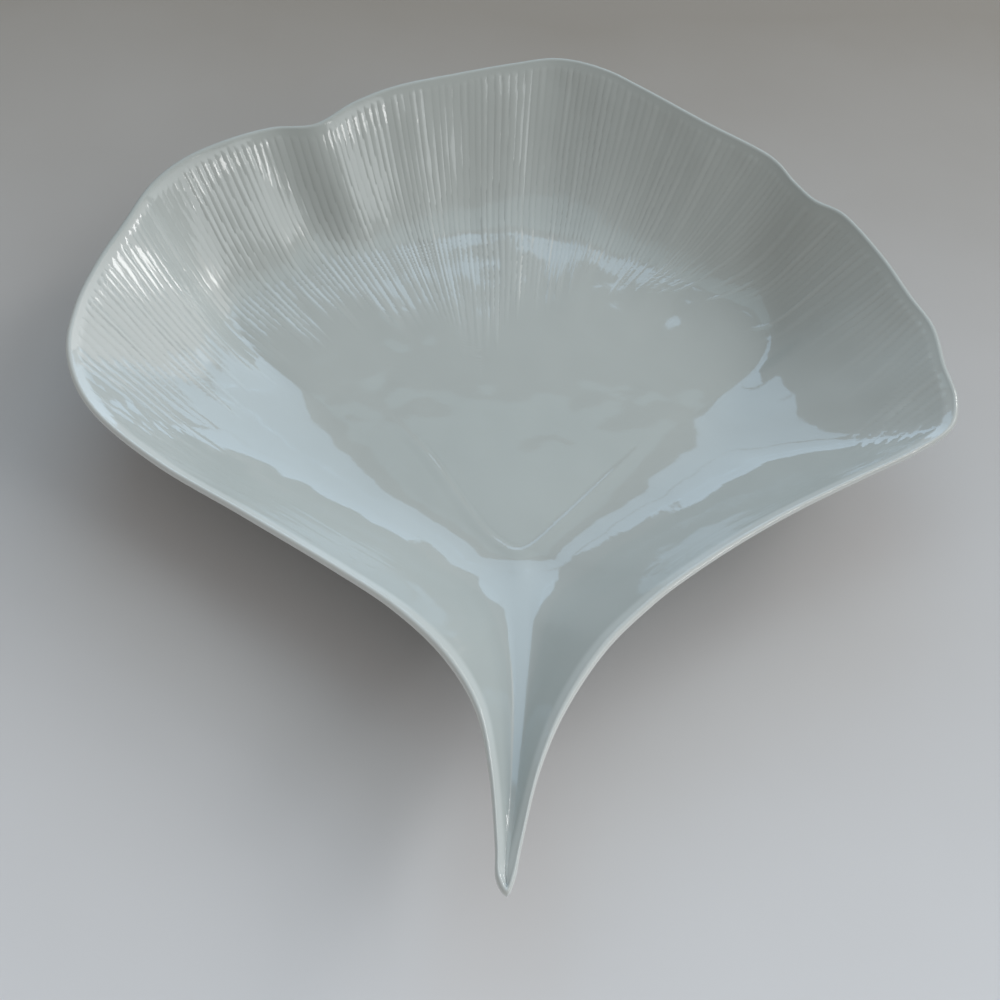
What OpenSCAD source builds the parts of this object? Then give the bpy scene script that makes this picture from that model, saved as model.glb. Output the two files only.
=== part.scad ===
// Leaf shaped plate: a fan of glazed porcelain with a folded back wall, two
// smooth flanks and a stem that runs out into a narrow trough as the handle.
// The plate lies on the XY plane. The stem points along -Y, +Z is up.

/* [Leaf] */
// Width of the leaf from its left corner to its right corner
leaf_w = 282; // [252:2:312]
// Length of the leaf from the tip of the stem to the back of the rim
leaf_l = 319; // [295:2:343]
// Height of the highest point of the rim above the table
rim_h = 42; // [36:1:50]

/* [Casting] */
// Thickness of the floor, and of the walls where they leave it
body_t = 4.2; // [3.4:0.2:5]
// Thickness of the wall at its lip
lip_t = 2.8; // [2.2:0.2:3.2]
// Height of the lip's smooth band, measured along the wall
lip_band = 5; // [4:0.5:7]

/* [Well] */
// Distance from the centre of the well to its side corners
well_r = 92; // [84:1:96]

/* [Stem] */
// Width of the trough's bottom where it opens into the well
trough_w = 5; // [4:0.2:6]
// How far the mouth of the trough lies to the right of the stem's axis
trough_side = 5; // [0:0.5:7]
// Distance from the tip of the stem to the end of the trough's bottom
tip_in = 3.4; // [3:0.2:4]
// Depth of the trough at the tip
tip_deep = 1; // [0.8:0.1:1.4]

/* [Folds] */
// Depth of the deepest fold of the back wall, halfway up the wall
fold_deep = 2.5; // [1:0.25:4]

/* [Foot ring] */
// Height of the foot ring
foot_h = 4; // [3:0.5:6]
// Outer radius of the foot ring, midway between its lobes and its hollows
foot_r = 52; // [46:1:54]
// Width of the foot ring
foot_w = 5; // [4:0.5:7]

/* [Hidden] */

// The outer edge of the lip, from the tip of the stem up the right side,
// round the back and down the left side. Each row holds x from the stem's
// axis, as a share of the leaf's width, y from the tip, as a share of its
// length, and z as a share of rim_h.
rim_shares = [
    [-0.002, 0.001, 0.96],
    [ 0.006, 0.015, 0.96],
    [ 0.012, 0.042, 0.95],
    [ 0.028, 0.102, 0.94],
    [ 0.054, 0.159, 0.93],
    [ 0.095, 0.217, 0.93],
    [ 0.142, 0.262, 0.93],
    [ 0.182, 0.293, 0.93],
    [ 0.242, 0.333, 0.93],
    [ 0.307, 0.371, 0.93],
    [ 0.380, 0.408, 0.94],
    [ 0.446, 0.440, 0.96],
    [ 0.491, 0.469, 0.98],
    [ 0.505, 0.506, 0.99],
    [ 0.501, 0.549, 0.98],
    [ 0.499, 0.602, 0.97],
    [ 0.480, 0.647, 0.96],
    [ 0.455, 0.703, 0.97],
    [ 0.418, 0.761, 0.98],
    [ 0.384, 0.786, 0.96],
    [ 0.362, 0.814, 0.96],
    [ 0.333, 0.853, 0.98],
    [ 0.256, 0.902, 0.99],
    [ 0.178, 0.956, 0.99],
    [ 0.122, 0.988, 1.00],
    [ 0.062, 1.002, 1.00],
    [ 0.000, 0.990, 0.99],
    [-0.074, 0.967, 0.99],
    [-0.152, 0.938, 1.00],
    [-0.207, 0.907, 0.99],
    [-0.254, 0.871, 0.96],
    [-0.309, 0.861, 0.96],
    [-0.363, 0.832, 0.99],
    [-0.411, 0.796, 1.00],
    [-0.443, 0.755, 0.99],
    [-0.464, 0.700, 0.98],
    [-0.484, 0.643, 0.98],
    [-0.496, 0.577, 0.99],
    [-0.491, 0.515, 0.98],
    [-0.454, 0.454, 0.96],
    [-0.376, 0.396, 0.94],
    [-0.279, 0.344, 0.93],
    [-0.181, 0.290, 0.93],
    [-0.117, 0.251, 0.93],
    [-0.066, 0.207, 0.93],
    [-0.033, 0.158, 0.93],
    [-0.019, 0.102, 0.94],
    [-0.013, 0.042, 0.95],
    [-0.012, 0.015, 0.96]
];
// Row at which the stem opens into the right flank, with the left flank as
// many rows before the end, and the rows of the leaf's two corners
mouth_row = 7;
right_corner_row = 13;
left_corner_row = 38;

// The edge of the flat floor, for one side of the leaf: the turn from the
// stem's direction round the centre of the well, and the share of well_r
// there.
well_shares = [
    [  0, 0.848],
    [ 20, 0.710],
    [ 45, 0.625],
    [ 65, 0.665],
    [ 80, 0.790],
    [ 92, 0.955],
    [102, 1.000],
    [115, 0.860],
    [135, 0.710],
    [155, 0.650],
    [180, 0.640]
];

// Where the centre of the well lies, as a share of the leaf's length from the
// tip of the stem
well_place_share = 0.621;

// Folds of the back wall: the turn from straight back, seen from the point of
// the well, half the width of the fold in degrees, and its depth as a share of
// fold_deep. A fold with a depth above zero bulges out, one below it bulges in.
fold_shares = [
    [-37.0, 6.5, -0.40],
    [-28.5, 6.0,  1.00],
    [-22.0, 6.0, -0.45],
    [ 31.0, 5.5, -0.30],
    [ 37.5, 5.5,  0.85],
    [ 45.0, 6.5, -0.35]
];
// Turn of the well's edge over which the floor's point leans to the trough
point_turn = 30;
// How softly a wall leaves the floor, as a share of its run
bow_share = 1.2;
// How softly the trough's bottom leaves the floor, as a share of its length,
// and how fast it then levels out towards the tip
keel_share = 0.08;
keel_power = 1.3;
// How much of a wall the lip's band may take where the wall is short
lip_max_share = 0.7;
// How far the foot ring swells towards its three rounded corners
foot_lobe_share = 0.14;

// Columns of the mesh between two rows of the rim, rows up a wall, steps round
// the lip and steps round the foot ring
cols = 5;
rows = 7;
lip_steps = 5;
foot_steps = 96;
// Columns on each side of a foot that its place is averaged with, which rounds
// the corners between the trough and the floor
soften = 4;

// Smooth closed curve through the rows of a table
function spline(a, b, c, d, t) =
    (2 * b + (c - a) * t + (2 * a - 5 * b + 4 * c - d) * t * t
     + (3 * b - a - 3 * c + d) * t * t * t) / 2;
// Smooth hump, 1 at x = 0 and 0 from x = 1 on
function bump(x) = abs(x) < 1 ? (1 + cos(180 * x)) / 2 : 0;

knots = len(rim_shares);
function rim_share(i, t) =
    spline(rim_shares[(i + knots - 1) % knots], rim_shares[i],
           rim_shares[(i + 1) % knots], rim_shares[(i + 2) % knots], t);
edge_shares = [for (i = [0:knots - 1]) for (j = [0:cols - 1]) rim_share(i, j / cols)];
count = len(edge_shares);
mouth = mouth_row * cols;
left_end = left_corner_row * cols;
right_end = right_corner_row * cols;

// The curve drawn out to the leaf's exact width and length
edge_x = [for (share = edge_shares) share[0]];
edge_y = [for (share = edge_shares) share[1]];
scale_x = leaf_w / (max(edge_x) - min(edge_x));
scale_y = leaf_l / (max(edge_y) - min(edge_y));
edge = [for (share = edge_shares) [share[0] * scale_x, share[1] * scale_y, share[2] * rim_h]];

// The stem's axis and its tip, with the origin under the middle of the leaf
stem_x = -(max(edge_x) + min(edge_x)) / 2 * scale_x;
tip_y = -(max(edge_y) + min(edge_y)) / 2 * scale_y;

// The well's edge round its centre, as a distance for a turn in degrees
function well_row(turn, i = 0) =
    i >= len(well_shares) - 2 || well_shares[i + 1][0] > turn ? i : well_row(turn, i + 1);
function well_share(i) =
    i < 0 ? 2 * well_shares[0][1] - well_shares[1][1]
    : i >= len(well_shares) ? well_shares[2 * len(well_shares) - 2 - i][1]
    : well_shares[i][1];
function well_edge(turn) =
    let (i = well_row(turn),
         t = (turn - well_shares[i][0]) / (well_shares[i + 1][0] - well_shares[i][0]))
    well_r * spline(well_share(i - 1), well_share(i), well_share(i + 1), well_share(i + 2), t);
well_y = leaf_l * well_place_share;
point_y = well_y - well_edge(0);

// Turn of a point of the edge round the well's centre, from the stem's side
function turn_of(p) = atan2(abs(p[0]), well_y - p[1]);
right_turn = turn_of(edge[mouth]);
left_turn = turn_of(edge[count - mouth]);

// Each column of the mesh runs straight, in plan, from its foot to its place
// on the rim. On the stem the foot lies on the bottom of the trough, which
// both sides share, and elsewhere on the edge of the floor.
function in_stem(i) = i <= mouth || i >= count - mouth;
function pair_middle(i) = (edge[i] + edge[(count - i) % count]) / 2;
function stem_foot(i) =
    let (pair = pair_middle(i),
         t = (pair[1] - edge[0][1]) / (pair_middle(mouth)[1] - edge[0][1]),
         s = i == 0 ? 0 : i <= mouth ? 1 : -1)
    [pair[0] * (1 - t) + t * (trough_side + s * trough_w / 2), tip_in + t * (point_y - tip_in)];
function fan_foot(i) =
    let (s = edge[i][0] >= 0 ? 1 : -1,
         start = s > 0 ? right_turn : left_turn,
         turn = 180 * (turn_of(edge[i]) - start) / (180 - start),
         r = well_edge(turn))
    [s * (trough_w / 2 + r * sin(turn)) + trough_side * bump(turn / point_turn),
     well_y - r * cos(turn)];
sharp_foot = [for (i = [0:count - 1]) in_stem(i) ? stem_foot(i) : fan_foot(i)];
function soft_foot(i, k = -soften) =
    let (weight = (1 + cos(180 * k / (soften + 1))) / (2 * (soften + 1)),
         here = weight * sharp_foot[(i + k) % count])
    k == soften ? here : here + soft_foot(i, k + 1);
foot_xy = [for (i = [0:count - 1])
    min(i, count - i) > mouth - 2 * soften ? soft_foot(i) : sharp_foot[i]];

// Middle of the casting's thickness at the foot of a column. The trough's
// bottom climbs from the floor to just below the lip at the tip.
function bow(t, share) = (sqrt(t * t + share * share) - share) / (sqrt(1 + share * share) - share);
function bow_slope(t, share) = t / sqrt(t * t + share * share) / (sqrt(1 + share * share) - share);
floor_z = foot_h + body_t / 2;
tip_z = edge[0][2] - tip_deep - body_t / 2;
function keel_z(y) =
    let (t = bow(max(0, (point_y - y) / (point_y - tip_in)), keel_share))
    floor_z + (tip_z - floor_z) * (1 - pow(1 - t, keel_power));

// Folds of the back wall at the direction of a column
function fold_sum(turn, k = 0) =
    k == len(fold_shares) ? 0
    : fold_shares[k][2] * bump((turn - fold_shares[k][0]) / fold_shares[k][1])
      + fold_sum(turn, k + 1);

// A column as [foot, direction in plan, run, middle z at the foot, rise, fold,
// share of the run at which the lip's band starts]
columns = [for (i = [0:count - 1])
    let (foot = foot_xy[i],
         reach = [edge[i][0], edge[i][1]] - foot,
         run = norm(reach) - lip_t / 2,
         foot_z = in_stem(i) ? keel_z(foot[1]) : floor_z,
         rise = edge[i][2] - lip_t / 2 - foot_z,
         fold = in_stem(i) ? 0 : fold_deep * fold_sum(atan2(edge[i][0], edge[i][1] - point_y)),
         band = min(lip_max_share, (lip_band - lip_t / 2) / norm([run, rise])))
    [foot, reach / norm(reach), run, foot_z, rise, fold, 1 - band]];

// Point of a column at share v of its run, moved by d out of the middle of the
// casting, towards the outside
function column_point(c, v, d) =
    let (foot = c[0], along = c[1], run = c[2], foot_z = c[3], rise = c[4], fold = c[5],
         lean = rise * bow_slope(v, bow_share),
         n = [lean, -run] / norm([lean, run]),
         out = d + fold * bump(2 * v - 1),
         s = run * v + out * n[0],
         z = foot_z + rise * bow(v, bow_share) + out * n[1])
    [foot[0] + s * along[0] + stem_x, foot[1] + s * along[1] + tip_y, z];
function half_thick(v) = (body_t + (lip_t - body_t) * v) / 2;
function inner(c, v) = column_point(c, v, -half_thick(v));
function outer(c, v) = column_point(c, v, half_thick(v));
// The rounded lip of a column, from its inner edge over the top to its outer edge
function lip_arc(c) =
    let (along = c[1], run = c[2], rise = c[4],
         lean = rise * bow_slope(1, bow_share),
         up = [run, lean] / norm([lean, run]),
         middle = column_point(c, 1, 0))
    [for (k = [0:lip_steps])
        let (a = 180 * k / lip_steps,
             s = lip_t / 2 * (up[0] * sin(a) - up[1] * cos(a)),
             z = lip_t / 2 * (up[1] * sin(a) + up[0] * cos(a)))
        middle + [s * along[0], s * along[1], z]];

// Rings of points for the columns of a wall and of the lip
function wall_ring(c) = concat(
    [for (k = [0:rows]) inner(c, c[6] * k / rows)],
    [for (k = [rows:-1:0]) outer(c, c[6] * k / rows)]);
function lip_ring(c) = concat([inner(c, c[6])], lip_arc(c), [outer(c, c[6])]);
wall_n = 2 * (rows + 1);
lip_n = lip_steps + 3;

// Two triangles for four corners given in turn, split from the first corner
function split(a, b, c, d) = [[a, b, c], [a, c, d]];
// Faces between neighbouring rings of n points, for the sides in the list
function skin(n, first, last, sides) =
    [for (j = [first:last - 1]) for (k = sides) each
        split(j * n + k, (j + 1) * n + k, (j + 1) * n + (k + 1) % n, j * n + (k + 1) % n)];
// Faces that close the ring at the start or the end of a wall
function wall_end(j, flip) =
    [for (k = [0:rows - 1])
        let (a = j * wall_n + k, b = a + 1, d = j * wall_n + wall_n - 1 - k, c = d - 1)
        each flip ? split(d, c, b, a) : split(a, b, c, d)];

module wall(first, last) {
    spread = [for (i = [first:last]) columns[i]];
    polyhedron(
        points = [for (c = spread) each wall_ring(c)],
        faces = concat(
            skin(wall_n, 0, last - first, [0:wall_n - 1]),
            wall_end(0, false),
            wall_end(last - first, true)));
}

// Flat floor of the well
module well_floor() {
    color([0.86, 0.88, 0.87])
        translate([stem_x, tip_y, foot_h])
            linear_extrude(body_t)
                polygon([for (i = [mouth:count - mouth]) foot_xy[i]]);
}

// Folded wall round the back of the well, from corner to corner
module fan_wall() {
    color([0.84, 0.87, 0.86])
        wall(right_end, left_end);
}

// Smooth wall on the left, from the leaf's corner to the mouth of the trough
module left_flank() {
    color([0.86, 0.88, 0.87])
        wall(left_end, count - mouth);
}

// Smooth wall on the right, from the mouth of the trough to the leaf's corner
module right_flank() {
    color([0.85, 0.87, 0.87])
        wall(mouth, right_end);
}

// Trough of the stem, which narrows to a closed tip
module stem_handle() {
    spread = [for (i = [-mouth:mouth]) columns[(i + count) % count]];
    tip = mouth * wall_n;
    last = 2 * mouth;
    color([0.87, 0.88, 0.87])
        polyhedron(
            points = [for (c = spread) each wall_ring(c)],
            faces = concat(
                skin(wall_n, 0, last, [0:wall_n - 2]),
                wall_end(0, false),
                wall_end(last, true),
                [for (j = [0:mouth - 2]) each
                    split(j * wall_n, (last - j) * wall_n,
                          (last - j - 1) * wall_n, (j + 1) * wall_n)],
                [for (j = [0:mouth - 2]) each
                    split((j + 2) * wall_n - 1, (last - j) * wall_n - 1,
                          (last - j + 1) * wall_n - 1, (j + 1) * wall_n - 1)],
                [[tip - wall_n, tip + wall_n, tip],
                 [tip - 1, tip + wall_n - 1, tip + 2 * wall_n - 1]],
                split(0, wall_n - 1, (last + 1) * wall_n - 1, last * wall_n)));
}

// Rounded lip with its smooth band, all the way round the leaf
module rolled_rim() {
    ring = [for (c = columns) each lip_ring(c)];
    size = len(ring);
    color([0.90, 0.91, 0.90])
        polyhedron(
            points = ring,
            faces = [for (j = [0:count - 1]) for (k = [0:lip_n - 1])
                let (a = j * lip_n + k,
                     b = (a + lip_n) % size,
                     d = j * lip_n + (k + 1) % lip_n,
                     c = (d + lip_n) % size)
                each k == lip_n - 1 ? split(b, c, d, a) : split(a, b, c, d)]);
}

// Ring that the plate stands on, a triangle with wide round corners
module foot_ring() {
    color([0.80, 0.79, 0.76])
        translate([stem_x, tip_y + well_y])
            linear_extrude(foot_h)
                difference() {
                    foot_outline(foot_r);
                    foot_outline(foot_r - foot_w);
                }
}

module foot_outline(r) {
    polygon([for (k = [0:foot_steps - 1])
        let (a = 360 * k / foot_steps,
             d = r + foot_r * foot_lobe_share * cos(3 * a))
        [d * sin(a), -d * cos(a)]]);
}

well_floor();
fan_wall();
left_flank();
right_flank();
stem_handle();
rolled_rim();
foot_ring();
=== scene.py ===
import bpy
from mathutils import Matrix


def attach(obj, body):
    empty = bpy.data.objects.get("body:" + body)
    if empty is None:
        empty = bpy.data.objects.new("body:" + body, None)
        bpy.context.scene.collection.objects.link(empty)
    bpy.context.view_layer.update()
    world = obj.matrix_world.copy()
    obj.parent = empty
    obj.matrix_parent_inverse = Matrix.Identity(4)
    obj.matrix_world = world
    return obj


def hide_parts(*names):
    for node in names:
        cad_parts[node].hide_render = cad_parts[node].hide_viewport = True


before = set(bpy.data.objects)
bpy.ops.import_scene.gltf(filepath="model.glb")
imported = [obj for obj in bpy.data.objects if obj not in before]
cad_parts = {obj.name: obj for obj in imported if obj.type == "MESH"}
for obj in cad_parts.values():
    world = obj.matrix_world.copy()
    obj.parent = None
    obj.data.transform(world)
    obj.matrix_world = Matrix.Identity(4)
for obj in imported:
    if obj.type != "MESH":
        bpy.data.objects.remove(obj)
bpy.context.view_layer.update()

import math

import bpy
import numpy as np
from mathutils import Matrix

# The plate's shape follows the same curves as its CAD solids, in millimetres,
# with many more points and with the fine ribs on top. x runs from the stem's
# axis and y from the tip of the stem, until Shell.make() moves the points to
# the frame's origin and to metres.
MM = 0.001

# Sizes of the casting: the leaf, its walls and lip, the well, the trough of the
# stem, the folds and the foot ring
LEAF_W = 282.0
LEAF_L = 319.0
RIM_H = 42.0
BODY_T = 4.2
LIP_T = 2.8
LIP_BAND = 5.0
WELL_R = 92.0
TROUGH_W = 5.0
TROUGH_SIDE = 5.0
TIP_IN = 3.4
TIP_DEEP = 1.0
FOLD_DEEP = 2.5
FOOT_H = 4.0
FOOT_R = 52.0
FOOT_W = 5.0

# The rim's curve, from the tip round to the right: x as a share of the leaf's
# width, y of its length and z of its height
RIM = np.array([
    [-0.002, 0.001, 0.96], [0.006, 0.015, 0.96], [0.012, 0.042, 0.95],
    [0.028, 0.102, 0.94], [0.054, 0.159, 0.93], [0.095, 0.217, 0.93],
    [0.142, 0.262, 0.93], [0.182, 0.293, 0.93], [0.242, 0.333, 0.93],
    [0.307, 0.371, 0.93], [0.380, 0.408, 0.94], [0.446, 0.440, 0.96],
    [0.491, 0.469, 0.98], [0.505, 0.506, 0.99], [0.501, 0.549, 0.98],
    [0.499, 0.602, 0.97], [0.480, 0.647, 0.96], [0.455, 0.703, 0.97],
    [0.418, 0.761, 0.98], [0.384, 0.786, 0.96], [0.362, 0.814, 0.96],
    [0.333, 0.853, 0.98], [0.256, 0.902, 0.99], [0.178, 0.956, 0.99],
    [0.122, 0.988, 1.00], [0.062, 1.002, 1.00], [0.000, 0.990, 0.99],
    [-0.074, 0.967, 0.99], [-0.152, 0.938, 1.00], [-0.207, 0.907, 0.99],
    [-0.254, 0.871, 0.96], [-0.309, 0.861, 0.96], [-0.363, 0.832, 0.99],
    [-0.411, 0.796, 1.00], [-0.443, 0.755, 0.99], [-0.464, 0.700, 0.98],
    [-0.484, 0.643, 0.98], [-0.496, 0.577, 0.99], [-0.491, 0.515, 0.98],
    [-0.454, 0.454, 0.96], [-0.376, 0.396, 0.94], [-0.279, 0.344, 0.93],
    [-0.181, 0.290, 0.93], [-0.117, 0.251, 0.93], [-0.066, 0.207, 0.93],
    [-0.033, 0.158, 0.93], [-0.019, 0.102, 0.94], [-0.013, 0.042, 0.95],
    [-0.012, 0.015, 0.96]])
KNOTS = len(RIM)
# Steps between two knots in the solids, from which the curve's exact size is taken
CAD_COLS = 5
# Knots of the rim at the mouth of the stem, on the right, and at both corners
MOUTH = 7
RIGHT_CORNER = 13
LEFT_CORNER = 38

# Edge of the well: turn from its point in degrees, and distance from its middle
# as a share of WELL_R
WELL = np.array([
    [0, 0.848], [20, 0.710], [45, 0.625], [65, 0.665], [80, 0.790], [92, 0.955],
    [102, 1.000], [115, 0.860], [135, 0.710], [155, 0.650], [180, 0.640]])
# Folds of the back wall: turn from straight back, half width, depth share
FOLDS = [(-37.0, 6.5, -0.40), (-28.5, 6.0, 1.00), (-22.0, 6.0, -0.45),
         (31.0, 5.5, -0.30), (37.5, 5.5, 0.85), (45.0, 6.5, -0.35)]
# Turn over which the edge moves sideways to meet the trough
POINT_TURN = 30.0
# How round the walls, the sides of the trough and its bottom rise. 0 is straight
BOW = 1.20
STEM_BOW = 0.35
KEEL_BOW = 0.08
KEEL_POWER = 1.3
# Largest share of a wall that the lip's band takes
LIP_MAX = 0.7
# How far the foot ring's three lobes leave the circle, as a share of its radius
FOOT_LOBE = 0.14
# Knots before the mouth over which the trough takes its own section, and over
# which its sides grow straighter
LEVEL_KNOTS, STRAIGHT_KNOTS = 1.5, 2.0


def spline(a, b, c, d, t):
    """Smooth curve from b to c, with a before and d after them."""
    return (2 * b + (c - a) * t + (2 * a - 5 * b + 4 * c - d) * t * t
            + (3 * b - a - 3 * c + d) * t ** 3) / 2


def bump(x):
    """A rounded hill, 1 high at 0 and gone at -1 and 1."""
    return np.where(np.abs(x) < 1, (1 + np.cos(np.pi * x)) / 2, 0.0)


def smooth(x, low, high):
    """Eased step from 0 at low to 1 at high."""
    t = np.clip((x - low) / (high - low), 0, 1)
    return t * t * (3 - 2 * t)


def rim_at(s):
    """Shares of the leaf's size at the places s of the rim, counted in knots."""
    i = np.floor(s).astype(int)
    t = (s - i)[:, None]
    return spline(RIM[(i - 1) % KNOTS], RIM[i % KNOTS],
                  RIM[(i + 1) % KNOTS], RIM[(i + 2) % KNOTS], t)


# The curve is drawn out to the leaf's exact width and length
coarse = rim_at(np.arange(KNOTS * CAD_COLS) / CAD_COLS)
SCALE = np.array([LEAF_W / np.ptp(coarse[:, 0]), LEAF_L / np.ptp(coarse[:, 1]), RIM_H])
STEM_X = -(coarse[:, 0].max() + coarse[:, 0].min()) / 2 * SCALE[0]
TIP_Y = -(coarse[:, 1].max() + coarse[:, 1].min()) / 2 * SCALE[1]


def edge_at(s):
    """Points of the rim in mm."""
    return rim_at(s) * SCALE


def well_share(i):
    """Row i of WELL, continued past both ends."""
    last = len(WELL) - 1
    mirrored = np.where(i > last, 2 * last - i, np.maximum(i, 0))
    return np.where(i < 0, 2 * WELL[0, 1] - WELL[1, 1], WELL[mirrored, 1])


def well_edge(turn):
    """Distance from the well's middle to its edge."""
    i = np.clip(np.searchsorted(WELL[:, 0], turn, side="right") - 1, 0, len(WELL) - 2)
    t = (turn - WELL[i, 0]) / (WELL[i + 1, 0] - WELL[i, 0])
    return WELL_R * spline(well_share(i - 1), well_share(i),
                           well_share(i + 1), well_share(i + 2), t)


# Middle of the well, as a share of the leaf's length
WELL_PLACE = 0.621
WELL_Y = LEAF_L * WELL_PLACE
POINT_Y = WELL_Y - float(well_edge(np.array([0.0]))[0])
FLOOR_Z = FOOT_H + BODY_T / 2
FLOOR_TOP = FOOT_H + BODY_T


def turn_of(p):
    """Turn of points round the well's middle, from the side of the stem."""
    return np.degrees(np.arctan2(np.abs(p[:, 0]), WELL_Y - p[:, 1]))


RIGHT_TURN = turn_of(edge_at(np.array([float(MOUTH)])))[0]
LEFT_TURN = turn_of(edge_at(np.array([float(KNOTS - MOUTH)])))[0]
TIP = edge_at(np.array([0.0]))[0]
MOUTH_Y = (edge_at(np.array([float(MOUTH)]))[0, 1]
           + edge_at(np.array([float(KNOTS - MOUTH)]))[0, 1]) / 2
TIP_Z = TIP[2] - TIP_DEEP - BODY_T / 2


def bow(t, share):
    """Share of a wall's rise at share t of its run."""
    return (np.sqrt(t * t + share * share) - share) / (np.sqrt(1 + share * share) - share)


def bow_slope(t, share):
    return t / np.sqrt(t * t + share * share) / (np.sqrt(1 + share * share) - share)


def keel_z(y):
    """Height of the casting's middle along the bottom of the trough."""
    t = bow(np.clip((POINT_Y - y) / (POINT_Y - TIP_IN), 0, 1), KEEL_BOW)
    return FLOOR_Z + (TIP_Z - FLOOR_Z) * (1 - (1 - t) ** KEEL_POWER)


# Width over which the floor's edge passes from the right half to the left one
BACK_BLEND = 16.0
# Knots of the rim over which a foot is averaged, on each side, and in how many steps
SOFTEN = 1.0
SOFT_TAPS = 12


def sharp_foot(s):
    """Foot of the wall, in plan, before its corners are rounded."""
    wrapped = s % KNOTS
    near = np.minimum(wrapped, KNOTS - wrapped)
    edge = edge_at(s)
    pair = (edge + edge_at(KNOTS - s)) / 2
    t = (pair[:, 1] - TIP[1]) / (MOUTH_Y - TIP[1])
    side = np.where(near < 1e-9, 0.0, np.where(wrapped < KNOTS / 2, 1.0, -1.0))
    low = np.stack([pair[:, 0] * (1 - t) + t * (TROUGH_SIDE + side * TROUGH_W / 2),
                    TIP_IN + t * (POINT_Y - TIP_IN)], 1)
    half = np.where(edge[:, 0] >= 0, 1.0, -1.0)
    start = np.where(half > 0, RIGHT_TURN, LEFT_TURN)
    turn = np.maximum(0, 180 * (turn_of(edge) - start) / (180 - start))
    r = well_edge(turn)
    a = np.radians(turn)
    soft = np.clip(edge[:, 0] / BACK_BLEND, -1, 1)
    high = np.stack([soft * TROUGH_W / 2 + half * r * np.sin(a)
                     + TROUGH_SIDE * bump(turn / POINT_TURN),
                     WELL_Y - r * np.cos(a)], 1)
    return np.where((near <= MOUTH)[:, None], low, high)


def foot_at(s):
    """Foot of the wall, averaged with its neighbours away from the tip."""
    wrapped = s % KNOTS
    near = np.minimum(wrapped, KNOTS - wrapped)
    total = np.zeros((len(s), 2))
    for k in range(-SOFT_TAPS, SOFT_TAPS + 1):
        weight = (1 + math.cos(math.pi * k / (SOFT_TAPS + 1))) / (2 * (SOFT_TAPS + 1))
        total += weight * sharp_foot(s + k * SOFTEN / (SOFT_TAPS + 1))
    rounded = smooth(near, MOUTH - 2 * SOFTEN, MOUTH - 1.5 * SOFTEN)[:, None]
    return total * rounded + sharp_foot(s) * (1 - rounded)


def columns(s, stem):
    """Feet, directions and rises of the wall at the places s of the rim."""
    edge = edge_at(s)
    foot = foot_at(s)
    if stem:
        foot_z = keel_z(foot[:, 1])
        fold = np.zeros(len(s))
    else:
        foot_z = np.full(len(s), FLOOR_Z)
        bearing = np.degrees(np.arctan2(edge[:, 0], edge[:, 1] - POINT_Y))
        fold = FOLD_DEEP * sum(depth * bump((bearing - at) / half) for at, half, depth in FOLDS)
    reach = edge[:, :2] - foot
    length = np.hypot(reach[:, 0], reach[:, 1])
    run = length - LIP_T / 2
    rise = edge[:, 2] - LIP_T / 2 - foot_z
    band = np.minimum(LIP_MAX, (LIP_BAND - LIP_T / 2) / np.hypot(run, rise))
    near = np.minimum(s % KNOTS, KNOTS - s % KNOTS)
    level = smooth(MOUTH - near, 0.0, LEVEL_KNOTS) if stem else np.zeros(len(s))
    # The walls of the trough are straighter than the flanks
    straight = smooth(MOUTH - near, 0.0, STRAIGHT_KNOTS) if stem else level
    share = BOW + (STEM_BOW - BOW) * straight
    return {"foot": foot, "along": reach / length[:, None], "run": run,
            "foot_z": foot_z, "rise": rise, "fold": fold, "top": 1 - band, "level": level,
            "bow": share}


# How much of the trough is filled at the tip, and over which length in mm
TIP_FILL, TIP_FILL_L = 0.8, 22.0
# Half of the least gap between the two sides of the trough
TIP_GAP = 0.2


def offset_curve(c, v, d):
    """Reach and height at share v of the run, d outwards from the middle of the casting."""
    run, rise, share = c["run"][:, None], c["rise"][:, None], c["bow"][:, None]
    lean = rise * bow_slope(v, share)
    size = np.hypot(lean, run)
    out = d + c["fold"][:, None] * bump(2 * v - 1)
    s = run * v + out * lean / size
    z = c["foot_z"][:, None] + rise * bow(v, share) - out * run / size
    return s, z


def column_point(c, v, d):
    """Point at share v of the run, d outwards from the middle of the casting."""
    s, z = offset_curve(c, v, d)
    # Inside the trough the skin goes straight from its foot to its lip, so that it can't fold
    top, foot_z = c["top"][:, None], c["foot_z"][:, None]
    level = c["level"][:, None] * (d < 0)
    q = np.clip(v / top, 0, 1)
    s_top, z_top = offset_curve(c, top, -half_thick(top))
    s, s_top = (a + level * ((a + np.hypot(a, TIP_GAP)) / 2 - a) for a in (s, s_top))
    z_low = foot_z + BODY_T / 2
    # and the trough runs out in the last of the stem
    full = 1 - smooth(c["foot"][:, 1], TIP[1] + TIP_IN, TIP[1] + TIP_IN + TIP_FILL_L)
    z_low = z_low + TIP_FILL * full[:, None] * np.maximum(0, z_top - z_low)
    straight = level * (1 - smooth(q, 0.5, 1.0))
    s = s + straight * (s_top * q - s)
    z = z + straight * (z_low + (z_top - z_low) * bow(q, c["bow"][:, None]) - z)
    z = z + level * np.maximum(0, z_low - z)
    plan = c["foot"][:, None, :] + s[..., None] * c["along"][:, None, :]
    # In the trough, the foot of a wall follows the slope of the trough's bottom
    v = np.clip(v, -1, 1)
    z = z + c["level"][:, None] * (1 - np.abs(v)) ** 4 * (keel_z(plan[..., 1])
                                                 - c["foot_z"][:, None])
    return np.concatenate([plan, z[..., None]], 2)


def half_thick(v):
    """Half of the casting's thickness at share v of a wall."""
    return (BODY_T + (LIP_T - BODY_T) * v) / 2


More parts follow.
